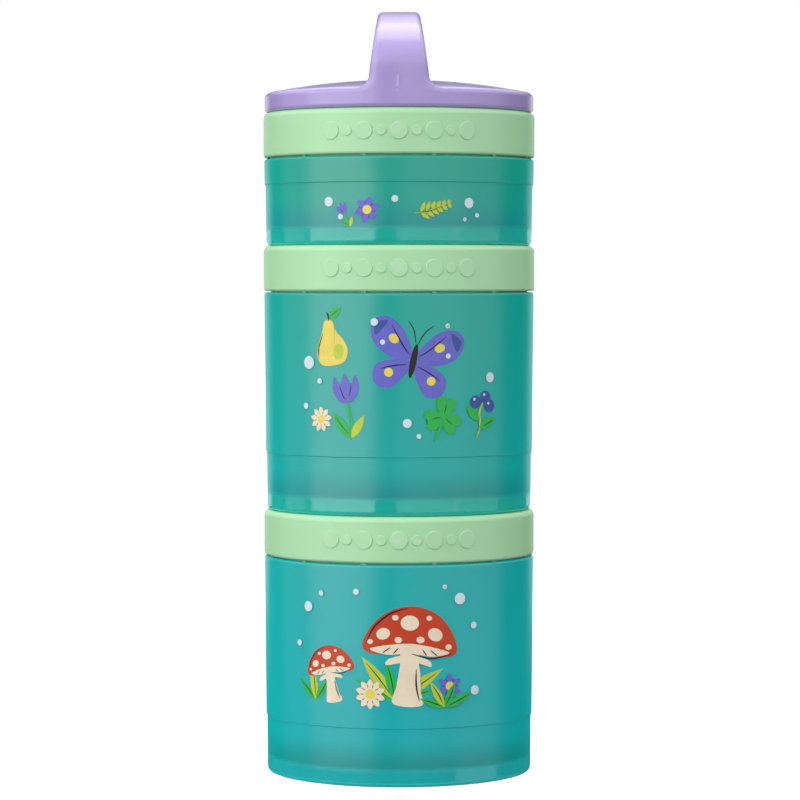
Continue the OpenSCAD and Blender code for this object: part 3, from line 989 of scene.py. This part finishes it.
def butterfly():
    """A purple butterfly with blue wing tips, 30 across, with its middle at the origin."""
    patches = (
        ("purple", (0.6, 1.2), (5.2, 9.2), (11.2, 12.0), (15.0, 9.4), (13.6, 3.6), (7.0, -0.2)),
        ("purple", (0.6, -0.4), (6.6, -0.8), (11.4, -3.6), (10.8, -8.8), (6.0, -10.0), (2.0, -5.4)),
        ("blue", (10.4, 10.8), (14.0, 9.0), (13.4, 5.6), (11.6, 7.6)),
    )
    spots = (
        ("yellow", 7.4, 5.6, 1.7, 0.8, 30), ("yellow", 6.8, -5.0, 1.4, 1, 0), ("pale", 10.6, 3.8, 0.8, 1, 0),
    )
    veins = (
        (0.42, (1.4, 1.6), (4.4, 4.4), (8.8, 9.6)),
        (0.42, (1.6, -1.4), (5.6, -2.6), (9.6, -4.4)),
        (0.36, (0.3, 5.2), (1.8, 9.4), (4.2, 12.0)),
    )
    shapes = []
    for side in (-1, 1):
        shapes += [blob(name, *[(side * x, z) for x, z in knots]) for name, *knots in patches]
        shapes += [(name, disc(side * x, z, r, flat, side * tilt)) for name, x, z, r, flat, tilt in spots]
        shapes += [stroke(width, *[(side * x, z) for x, z in knots]) for width, *knots in veins]
    return shapes + [("black", disc(0, 0, 1.0, 5.4))]


def pear():
    """A yellow pear with a leaf, 18 tall, standing on its origin."""
    return [
        blob("yellow", (0, 0), (-4.6, 1.0), (-6.2, 4.8), (-4.6, 8.8), (-2.6, 12.4), (-1.4, 15.4), (0.6, 16.2),
             (2.2, 14.8), (3.0, 11.6), (5.2, 8.2), (6.2, 4.4), (4.4, 0.8)),
        ("lime", disc(2.6, 4.4, 1.9, 1.5, -14)),
        ("green", petal(0.8, 16.6, 6.4, 3.2, 62)),
        stroke(0.7, (0.5, 15.6), (0.8, 17.2), (0.3, 18.9)),
        stroke(0.45, (-5.6, 3.2), (-5.4, 6.2), (-3.8, 9.4), (-2.4, 12.0)),
        stroke(0.28, (1.8, 17.3), (3.8, 18.2), (5.4, 18.9)),
        *[("cream", disc(x, z, 0.28)) for x, z in ((-2.6, 3.2), (-1.2, 5.6), (-3.2, 6.4), (0.4, 2.6))],
    ]


def clover():
    """Three heart-shaped green leaves on a stem, 15 tall."""
    leaf = [
        blob("green", (0, 0), (-2.9, 2.6), (-3.2, 5.2), (-1.5, 6.2), (0, 5.0), (1.5, 6.2), (3.2, 5.2),
             (2.9, 2.6)),
        stroke(0.3, (0, 0.9), (0.2, 2.6), (0, 4.1)),
    ]
    shapes = [stroke(0.9, (-1.6, -8.6), (-0.4, -4.4), (0, 0), name="green")]
    for tilt in (0, 118, -118):
        shapes += placed(leaf, 0, 0, 1.0, tilt)
    return shapes


def berry_twig():
    """Blue berries on a lime twig with two leaves, 14 tall."""
    shapes = [
        stroke(0.8, (0, 0), (0.8, 4), (0, 8), (1.4, 12), name="lime"),
        ("green", petal(0.5, 3.2, 7, 3.0, 58)),
        ("green", petal(0.4, 5.4, 6.4, 2.8, -56)),
    ]
    for x, z in ((1.6, 12.6), (-1.8, 10.8), (3.6, 10.2)):
        shapes += [("blue", disc(x, z, 1.9)), ("pale", disc(x - 0.6, z + 0.7, 0.42))]
    return shapes + [stroke(0.28, (1.8, 3.9), (3.8, 5.0), (5.4, 6.1))]


def feather_leaf():
    """A lime fern leaf, 16 long, with its root at the origin."""
    shapes = [stroke(0.7, (0, 0), (0.8, 5), (0.3, 10), (-0.4, 16), name="lime")]
    for i in range(6):
        shapes += [("lime", petal(0.4, 2.4 + 2.3 * i, 4.6 - 0.5 * i, 1.7, tilt)) for tilt in (52, -52)]
    return shapes + [stroke(0.28, (0.2, 1.4), (0.9, 6), (0.4, 11))]


def dew(*drops):
    """Pale drops, each its place and radius, and the width of its line if it is only a ring."""
    return [("pale", ring_spot(*drop) if len(drop) > 3 else disc(*drop)) for drop in drops]


def upper_picture():
    """What is printed on the upper cup, low on its wall."""
    return (
        placed(daisy(6, "purple", "yellow", 3.9, 2.6), -9.4, 10.2, 1.0, 14)
        + placed(tulip(), -14.6, 5.0, 0.36, -24)
        + placed(feather_leaf(), 4.6, 9.2, 0.74, 74)
        + dew((-21.5, 12.6, 1.4), (-17.6, 8.2, 0.8, RING), (-1.2, 13.4, 1.0), (21.4, 12.2, 1.5),
              (24.2, 8.6, 0.7), (20.0, 7.4, 0.6, RING))
    )


def middle_picture():
    """What is printed on the middle cup."""
    return (
        placed(butterfly(), 4.2, 45.6, 0.94, 12)
        + placed(pear(), -19.8, 44.2, 0.84, -10)
        + placed(tulip(), -14.4, 22.4, 0.88, -6)
        + placed(daisy(9, "cream", "yellow"), -24.2, 28.4, 0.72)
        + placed(clover(), 13.2, 29.4, 0.92, 12)
        + placed(berry_twig(), 24.0, 22.8, 0.98, 8)
        + dew((-28.6, 45.0, 1.9), (-24.6, 39.6, 0.8, RING), (2.4, 27.4, 1.3), (-7.2, 57.0, 1.1),
              (14.4, 55.8, 0.7, RING), (29.0, 40.6, 1.5), (5.8, 23.6, 0.7), (-29.8, 32.2, 0.9))
    )


def lower_picture():
    """What is printed on the lower cup."""
    tuft = grass((-64, 13, 3.2), (-38, 16, 3.6), (-12, 12, 3.0), (30, 15, 3.4), (58, 17, 3.6), (76, 12, 2.8))
    return (
        placed(tuft, 3.0, 26.0)
        + placed(grass((-46, 9, 2.4), (-8, 11, 2.6), (34, 8, 2.4)), -22.0, 25.0)
        + placed(toadstool(), -15.6, 25.0, 0.62, -9)
        + placed(toadstool(), 6.4, 24.6, 1.08, 4)
        + placed(daisy(10, "cream", "yellow"), -4.2, 27.6, 0.86)
        + placed(daisy(6, "purple", "yellow"), 19.4, 29.8, 0.74)
        + placed(grass((-70, 8, 2.2), (-30, 9, 2.4), (24, 8, 2.2), (66, 10, 2.6)), 17.8, 23.6)
        + dew((-24.6, 52.6, 1.5), (-19.8, 56.8, 0.8, RING), (22.6, 55.4, 1.7), (27.2, 47.4, 1.0),
              (17.8, 59.0, 0.7, RING), (-28.2, 41.6, 0.9), (27.6, 28.2, 1.4), (-8.4, 57.6, 0.9))
    )


def sliced(outline, width):
    """A flat outline in metres, cut into upright slices that can follow a round wall."""
    flat = bmesh.new()
    flat.faces.new([flat.verts.new((x * MM, 0, z * MM)) for x, z in outline])
    bmesh.ops.triangulate(flat, faces=flat.faces[:], ngon_method="EAR_CLIP")
    low = min(x for x, _ in outline) * MM
    cuts = int((max(x for x, _ in outline) * MM - low) / width)
    for i in range(1, cuts + 1):
        everything = flat.verts[:] + flat.edges[:] + flat.faces[:]
        at = (low + i * width, 0, 0)
        bmesh.ops.bisect_plane(flat, geom=everything, dist=1e-9, plane_co=at, plane_no=(1, 0, 0))
    return flat


def printed(name, shapes, scene, wall_at, level, turn):
    """A picture as thin films of ink that follow a cup's wall, each a layer above those under it."""
    names = sorted({ink_name for ink_name, _ in shapes})
    film = bmesh.new()
    for layer, (ink_name, outline) in enumerate(shapes):
        flat = sliced(outline, scene.print_sizes.slice)
        depth = scene.print_sizes.ink * (1 + LAYER_STEP * layer)
        corners = {}
        for vert in flat.verts:
            r = wall_at(vert.co.z)
            angle = math.degrees(vert.co.x / r) + turn
            corners[vert] = film.verts.new(turned(angle, r + depth, level + vert.co.z))
        for face in flat.faces:
            made = film.faces.new([corners[vert] for vert in face.verts])
            made.material_index = names.index(ink_name)
            made.smooth = True
        flat.free()
    mesh = bpy.data.meshes.new(name)
    film.to_mesh(mesh)
    film.free()
    for ink_name in names:
        made = bpy.data.materials.get("ink_" + ink_name)
        mesh.materials.append(made or ink(ink_name, getattr(scene.finishes, ink_name)))
    return added(name, mesh)


# Operators


def cup_form(cup, which):
    """The radius at a cup's foot, the height of its step and its turn under the collar."""
    if which == "upper":
        return cup.small_foot_r, cup.small_step, 0.0
    return cup.large_foot_r, cup.large_step, cup.lower_turn if which == "lower" else 0.0


class MakeCups(Operator):
    """Makes the three frosted cups"""

    bl_idname = "snack_stack.make_cups"
    bl_label = "Make Cups"

    def execute(self, context):
        cup, foot = context.scene.cup_sizes, context.scene.foot_sizes
        finish = frosted_plastic("frosted_teal", context.scene.finishes)
        for which, node in CUPS.items():
            low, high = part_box(node)
            foot_r, step, turn = cup_form(cup, which)
            body = lathe(node, cup_section(cup, foot, high.z - low.z, foot_r, step))
            piece = fuse(node + "_body", body, foot_lugs(foot))
            mark_height(piece.data)
            lift(piece.data, low.z, turn)
            surfaced(piece, finish)
            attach(piece, STAGES[which])
            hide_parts(node)
        return {"FINISHED"}


class MakeCollars(Operator):
    """Makes the three mint collars"""

    bl_idname = "snack_stack.make_collars"
    bl_label = "Make Collars"

    def execute(self, context):
        collar, foot = context.scene.collar_sizes, context.scene.foot_sizes
        finish = satin_plastic("mint_plastic", context.scene.finishes.mint, 0.4, 0.12)
        for which, stage in STAGES.items():
            node = which + "_collar"
            body = lathe(node, collar_section(collar, foot.edge))
            piece = fuse(node + "_ring", body, collar_fittings(collar, foot))
            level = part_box(node)[0].z + collar.lip_gap + collar.spigot_h
            lift(piece.data, level)
            surfaced(piece, finish)
            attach(piece, stage)
            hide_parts(node)
        return {"FINISHED"}


class MakeLid(Operator):
    """Makes the lavender lid with its carrying loop"""

    bl_idname = "snack_stack.make_lid"
    bl_label = "Make Lid"

    def execute(self, context):
        lid, foot = context.scene.lid_sizes, context.scene.foot_sizes
        body = lathe("lid", lid_section(lid, foot))
        loop = skin("loop", loop_rings(lid, foot))
        piece = fuse("lid_and_loop", body, [loop, *foot_lugs(foot)])
        lift(piece.data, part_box("lid")[0].z)
        surfaced(piece, satin_plastic("lavender_plastic", context.scene.finishes.lavender, 0.3, 0.6))
        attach(piece, "lid_stage")
        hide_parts("lid")
        return {"FINISHED"}


class FinishSeals(Operator):
    """Gives the seal rings their silicone"""

    bl_idname = "snack_stack.finish_seals"
    bl_label = "Finish Seals"

    def execute(self, context):
        silicone = seal_rubber("silicone", context.scene.finishes.rubber)
        for node in ("lower_seal", "middle_seal", "upper_seal", "lid_seal"):
            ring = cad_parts[node]
            for place in ring.material_slots:
                place.material = silicone
        return {"FINISHED"}


class PrintCups(Operator):
    """Prints the garden pictures on the cups"""

    bl_idname = "snack_stack.print_cups"
    bl_label = "Print Cups"

    def execute(self, context):
        scene = context.scene
        cup = scene.cup_sizes
        pictures = {"lower": lower_picture(), "middle": middle_picture(), "upper": upper_picture()}
        for which, shapes in pictures.items():
            low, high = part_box(CUPS[which])
            foot_r, step, turn = cup_form(cup, which)
            wall_at = partial(wall_radius, cup, high.z - low.z, foot_r, step)
            piece = printed(which + "_picture", shapes, scene, wall_at, low.z, turn)
            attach(piece, STAGES[which])
        return {"FINISHED"}


class SetStage(Operator):
    """Sets the camera, the lamps and the floor"""

    bl_idname = "snack_stack.set_stage"
    bl_label = "Set Stage"

    def execute(self, context):
        studio = context.scene.studio
        self.place_camera(context, studio)
        self.lay_floor()
        self.hang_lamps(studio)
        self.paint_room(context, studio)
        context.scene.view_settings.view_transform = "Standard"
        return {"FINISHED"}

    def place_camera(self, context, studio):
        """Where the photograph was taken from."""
        view = bpy.data.cameras.new("camera")
        view.lens = studio.lens
        view.sensor_width = 36.0
        camera = added("camera", view)
        camera.location = (studio.sideways, -studio.distance, studio.height)
        camera.rotation_euler = (math.radians(90 - studio.tilt), 0, 0)
        context.scene.camera = camera

    def lay_floor(self):
        """A plain white sweep under the stack."""
        half = 6.0
        mesh = bpy.data.meshes.new("floor")
        corners = [(-half, -half, 0), (half, -half, 0), (half, half, 0), (-half, half, 0)]
        mesh.from_pydata(corners, [], [(0, 1, 2, 3)])
        material, shader, tree = new_shader("white_sweep", WHITE, 0.6)
        vary_colour(tree, shader, WHITE, noise(tree, 2.0, 2), 0.01)
        fill(tree, shader, {
            "Specular IOR Level": 0.2, "Emission Color": (1, 1, 1, 1), "Emission Strength": 0.75,
        })
        mesh.materials.append(material)
        floor = added("floor", mesh)
        for rays in ("diffuse", "glossy", "transmission", "shadow"):
            setattr(floor, "visible_" + rays, False)

    def hang_lamps(self, studio):
        """Soft boxes round the stack: angle, distance and height, then width and height, then brightness."""
        middle = (CAD_BOX[0] + CAD_BOX[1]) / 2
        boxes = {
            "key_box": ((-51, 1.3, 0.45), (1.65, 1.3), studio.key),
            "side_box": ((-101, 1.3, 0.45), (0.7, 1.3), studio.side),
            "fill_box": ((72, 1.3, 0.4), (1.15, 1.5), studio.fill),
            "front_panel": ((25, 1.6, 0.4), (1.7, 1.2), studio.front),
            "backdrop_panel": ((180, 1.3, 0.15), (1.7, 0.5), studio.back),
            "top_box": ((180, 0.4, 1.08), (0.8, 0.73), studio.top),
        }
        for name, (place, size, brightness) in boxes.items():
            light = bpy.data.lights.new(name, "AREA")
            light.shape = "RECTANGLE"
            light.size, light.size_y = size
            light.energy = brightness * math.pi * size[0] * size[1]
            lamp = added(name, light)
            lamp.location = turned(*place)
            aim = Vector((middle.x, middle.y, lamp.location.z if name == "backdrop_panel" else middle.z))
            lamp.rotation_euler = (aim - lamp.location).to_track_quat("-Z", "Y").to_euler()
            lamp.visible_camera = False

    def paint_room(self, context, studio):
        """A white backdrop that gives off less light than it shows."""
        world = bpy.data.worlds.new("room")
        world.use_nodes = True
        tree = world.node_tree
        seen = fill(tree, tree.nodes["Background"], {"Color": (1, 1, 1, 1), "Strength": 1.0})
        direction = add_node(tree, "TexCoord").outputs["Generated"]
        up = add_node(tree, "SeparateXYZ", {"Vector": direction}).outputs["Z"]
        above = spread(tree, up, studio.dusk, studio.sky, 0.2, 0.6)
        below = spread(tree, up, studio.ground, 0.0, -0.6, -0.2)
        light = add_node(tree, "Math", {0: above, 1: below}, operation="MAXIMUM").outputs["Value"]
        given = add_node(tree, "Background", {"Color": (1, 1, 1, 1), "Strength": light})
        shown = add_node(tree, "LightPath").outputs["Is Camera Ray"]
        both = {"Fac": shown, 1: given.outputs["Background"], 2: seen.outputs["Background"]}
        mix = add_node(tree, "MixShader", both)
        fill(tree, tree.nodes["World Output"], {"Surface": mix.outputs["Shader"]})
        context.scene.world = world


class SnackStackPanel(Panel):
    """Sizes, colours and steps of the snack stack"""

    bl_idname = "SNACK_PT_stack"
    bl_label = "Snack Stack"
    bl_space_type = "VIEW_3D"
    bl_region_type = "UI"
    bl_category = "Snack Stack"

    def draw(self, context):
        layout = self.layout
        for operator in STEPS:
            layout.operator(operator.bl_idname)
        for name, group in SETTINGS.items():
            box = layout.box()
            box.label(text=name.replace("_", " ").capitalize())
            for prop in group.__annotations__:
                box.prop(getattr(context.scene, name), prop)


SETTINGS = {
    "cup_sizes": CupSizes,
    "foot_sizes": FootSizes,
    "collar_sizes": CollarSizes,
    "lid_sizes": LidSizes,
    "print_sizes": PrintSizes,
    "finishes": Finishes,
    "studio": StudioSettings,
}
STEPS = (MakeCups, MakeCollars, MakeLid, FinishSeals, PrintCups, SetStage)


def register():
    for name, group in SETTINGS.items():
        bpy.utils.register_class(group)
        setattr(bpy.types.Scene, name, PointerProperty(type=group))
    for made in (*STEPS, SnackStackPanel):
        bpy.utils.register_class(made)


def unregister():
    for made in (SnackStackPanel, *reversed(STEPS)):
        bpy.utils.unregister_class(made)
    for name, group in reversed(SETTINGS.items()):
        delattr(bpy.types.Scene, name)
        bpy.utils.unregister_class(group)


def main():
    """Makes every piece in order."""
    register()
    for step in STEPS:
        area, name = step.bl_idname.split(".")
        getattr(getattr(bpy.ops, area), name)()


if __name__ == "__main__":
    main()
